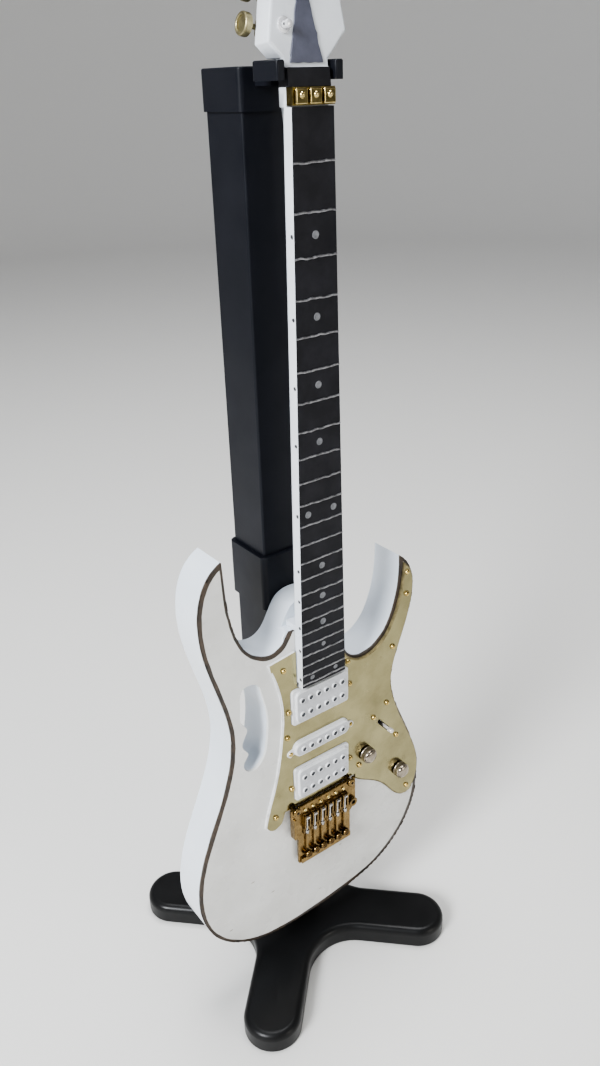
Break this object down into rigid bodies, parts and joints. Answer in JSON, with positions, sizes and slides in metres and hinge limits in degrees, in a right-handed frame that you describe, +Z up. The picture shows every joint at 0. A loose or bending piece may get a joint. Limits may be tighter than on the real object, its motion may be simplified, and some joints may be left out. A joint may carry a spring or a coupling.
{
  "type": "miniature guitar on stand",
  "caption": "Miniature white electric guitar with a gold guard, hung by its neck from a black square post on a four-legged cross base.",
  "frame": {"origin": "middle of the base's footprint, on the table", "axes": "+Z up, -Y towards the player's side that the guitar faces, +X to the right of someone facing it"},
  "size_m": [0.095, 0.0876, 0.3502],
  "materials": {
    "stand_black": "satin black moulded plastic",
    "base_black": "gloss black moulded plastic",
    "body_white": "white gloss lacquer over wood",
    "face_white": "white lacquer with a brown edge line",
    "neck_white": "white lacquer over wood",
    "board_black": "black satin board",
    "fret_metal": "dull silver wire",
    "dot_grey": "grey dots",
    "side_dot_dark": "dark side dots",
    "panel_grey": "grey-violet panel",
    "shelf_black": "black slope behind the nut",
    "lock_gold": "old gold",
    "clamp_gold": "old gold",
    "screw_bright": "bright screw",
    "guard_gold": "champagne gold sheet",
    "gold_screw": "gold screw",
    "pickup_white": "white cover",
    "knob_metal": "warm silver knob",
    "steel": "plain steel",
    "switch_black": "switch frame",
    "lever_white": "white tip",
    "trem_bronze": "dark bronze gold",
    "saddle_silver": "silver saddle",
    "tuner_bronze": "dark bronze gold",
    "key_brass": "antique brass",
    "tuner_silver": "silver post",
    "housing_grey": "antique casing"
  },
  "bodies": {
    "stand": {"stand_base": "base_black", "post_lower": "stand_black", "post_upper": "stand_black", "post_sleeve": "stand_black", "post_cap": "stand_black", "neck_yoke": "stand_black"},
    "knob_volume_body": {"knob_volume": "knob_metal"},
    "knob_tone_body": {"knob_tone": "knob_metal"},
    "switch_lever_body": {"switch_lever": "lever_white"},
    "tremolo": {"trem_plate": "trem_bronze", "trem_arm_collar": "trem_bronze", "trem_block": "steel", "trem_rail": "trem_bronze", "trem_saddles": "saddle_silver", "trem_saddle_screws": "screw_bright", "fine_tuners": "tuner_bronze"},
    "tuner_post_body_1": {"tuner_post_1": "tuner_silver"},
    "tuner_key_body_1": {"tuner_key_1": "key_brass"},
    "tuner_post_body_2": {"tuner_post_2": "tuner_silver"},
    "tuner_key_body_2": {"tuner_key_2": "key_brass"},
    "tuner_post_body_3": {"tuner_post_3": "tuner_silver"},
    "tuner_key_body_3": {"tuner_key_3": "key_brass"},
    "tuner_post_body_4": {"tuner_post_4": "tuner_silver"},
    "tuner_key_body_4": {"tuner_key_4": "key_brass"},
    "tuner_post_body_5": {"tuner_post_5": "tuner_silver"},
    "tuner_key_body_5": {"tuner_key_5": "key_brass"},
    "tuner_post_body_6": {"tuner_post_6": "tuner_silver"},
    "tuner_key_body_6": {"tuner_key_6": "key_brass"},
    "guitar": {"body_core": "body_white", "body_top": "face_white", "neck": "neck_white", "fret_dots": "dot_grey", "fretboard": "board_black", "side_dots": "side_dot_dark", "frets": "fret_metal", "neck_bolts": "steel", "headstock_panel": "panel_grey", "head_shelf": "shelf_black", "lock_nut_base": "lock_gold", "lock_nut_clamps": "clamp_gold", "lock_nut_screws": "screw_bright", "tuner_bushings": "tuner_silver", "tuner_housings": "housing_grey", "pickguard": "guard_gold", "pickguard_screws": "gold_screw", "control_pots": "steel", "pickup_neck": "pickup_white", "pickup_middle": "pickup_white", "pickup_bridge": "pickup_white", "pickup_poles": "pickup_white", "pickup_screws": "gold_screw", "switch_frame": "switch_black", "switch_pin": "steel", "trem_studs": "trem_bronze"}
  },
  "joints": [
    {"name": "guitar_lift", "type": "slide", "parent": "stand", "child": "guitar", "axis": [0, -0.6, 0.8], "range_m": [0, 0.06]},
    {"name": "volume_turn", "type": "hinge", "parent": "guitar", "child": "knob_volume_body", "pos_m": [0.0196, -0.0201, 0.0829], "axis": [0, -1, 0], "range_deg": [-135, 135]},
    {"name": "tone_turn", "type": "hinge", "parent": "guitar", "child": "knob_tone_body", "pos_m": [0.0352, -0.0201, 0.0679], "axis": [0, -1, 0], "range_deg": [-135, 135]},
    {"name": "switch_throw", "type": "hinge", "parent": "guitar", "child": "switch_lever_body", "pos_m": [0.0284, -0.017, 0.0901], "axis": [0.766, 0, 0.6428], "range_deg": [-18, 18]},
    {"name": "tremolo_rock", "type": "hinge", "parent": "guitar", "child": "tremolo", "pos_m": [0, -0.0208, 0.0751], "axis": [-1, 0, 0], "range_deg": [0, 5], "stiffness_Nm_per_rad": 0.002, "springref_deg": -17.19},
    {"name": "key_turn_1", "type": "hinge", "parent": "guitar", "child": "tuner_key_body_1", "pos_m": [-0.00575, -0.0125, 0.30376], "axis": [-0.9806, 0.0171, 0.1952], "continuous": true},
    {"name": "post_turn_1", "type": "hinge", "parent": "guitar", "child": "tuner_post_body_1", "pos_m": [-0.00575, -0.01972, 0.30439], "axis": [0, -0.9962, 0.0872], "continuous": true},
    {"name": "key_turn_2", "type": "hinge", "parent": "guitar", "child": "tuner_key_body_2", "pos_m": [-0.00434, -0.01188, 0.31079], "axis": [-0.9806, 0.0171, 0.1952], "continuous": true},
    {"name": "post_turn_2", "type": "hinge", "parent": "guitar", "child": "tuner_post_body_2", "pos_m": [-0.00434, -0.01911, 0.31142], "axis": [0, -0.9962, 0.0872], "continuous": true},
    {"name": "key_turn_3", "type": "hinge", "parent": "guitar", "child": "tuner_key_body_3", "pos_m": [-0.00293, -0.01127, 0.31783], "axis": [-0.9806, 0.0171, 0.1952], "continuous": true},
    {"name": "post_turn_3", "type": "hinge", "parent": "guitar", "child": "tuner_post_body_3", "pos_m": [-0.00293, -0.01849, 0.31846], "axis": [0, -0.9962, 0.0872], "continuous": true},
    {"name": "key_turn_4", "type": "hinge", "parent": "guitar", "child": "tuner_key_body_4", "pos_m": [-0.00152, -0.01065, 0.32486], "axis": [-0.9806, 0.0171, 0.1952], "continuous": true},
    {"name": "post_turn_4", "type": "hinge", "parent": "guitar", "child": "tuner_post_body_4", "pos_m": [-0.00152, -0.01788, 0.32549], "axis": [0, -0.9962, 0.0872], "continuous": true},
    {"name": "key_turn_5", "type": "hinge", "parent": "guitar", "child": "tuner_key_body_5", "pos_m": [-0.00011, -0.01004, 0.33189], "axis": [-0.9806, 0.0171, 0.1952], "continuous": true},
    {"name": "post_turn_5", "type": "hinge", "parent": "guitar", "child": "tuner_post_body_5", "pos_m": [-0.00011, -0.01726, 0.33252], "axis": [0, -0.9962, 0.0872], "continuous": true},
    {"name": "key_turn_6", "type": "hinge", "parent": "guitar", "child": "tuner_key_body_6", "pos_m": [0.0013, -0.00942, 0.33893], "axis": [-0.9806, 0.0171, 0.1952], "continuous": true},
    {"name": "post_turn_6", "type": "hinge", "parent": "guitar", "child": "tuner_post_body_6", "pos_m": [0.0013, -0.01665, 0.33956], "axis": [0, -0.9962, 0.0872], "continuous": true}
  ],
  "couplings": [
    {"joint": "post_turn_1", "follows": "key_turn_1", "ratio": 0.071429},
    {"joint": "post_turn_2", "follows": "key_turn_2", "ratio": 0.071429},
    {"joint": "post_turn_3", "follows": "key_turn_3", "ratio": 0.071429},
    {"joint": "post_turn_4", "follows": "key_turn_4", "ratio": 0.071429},
    {"joint": "post_turn_5", "follows": "key_turn_5", "ratio": 0.071429},
    {"joint": "post_turn_6", "follows": "key_turn_6", "ratio": 0.071429}
  ]
}
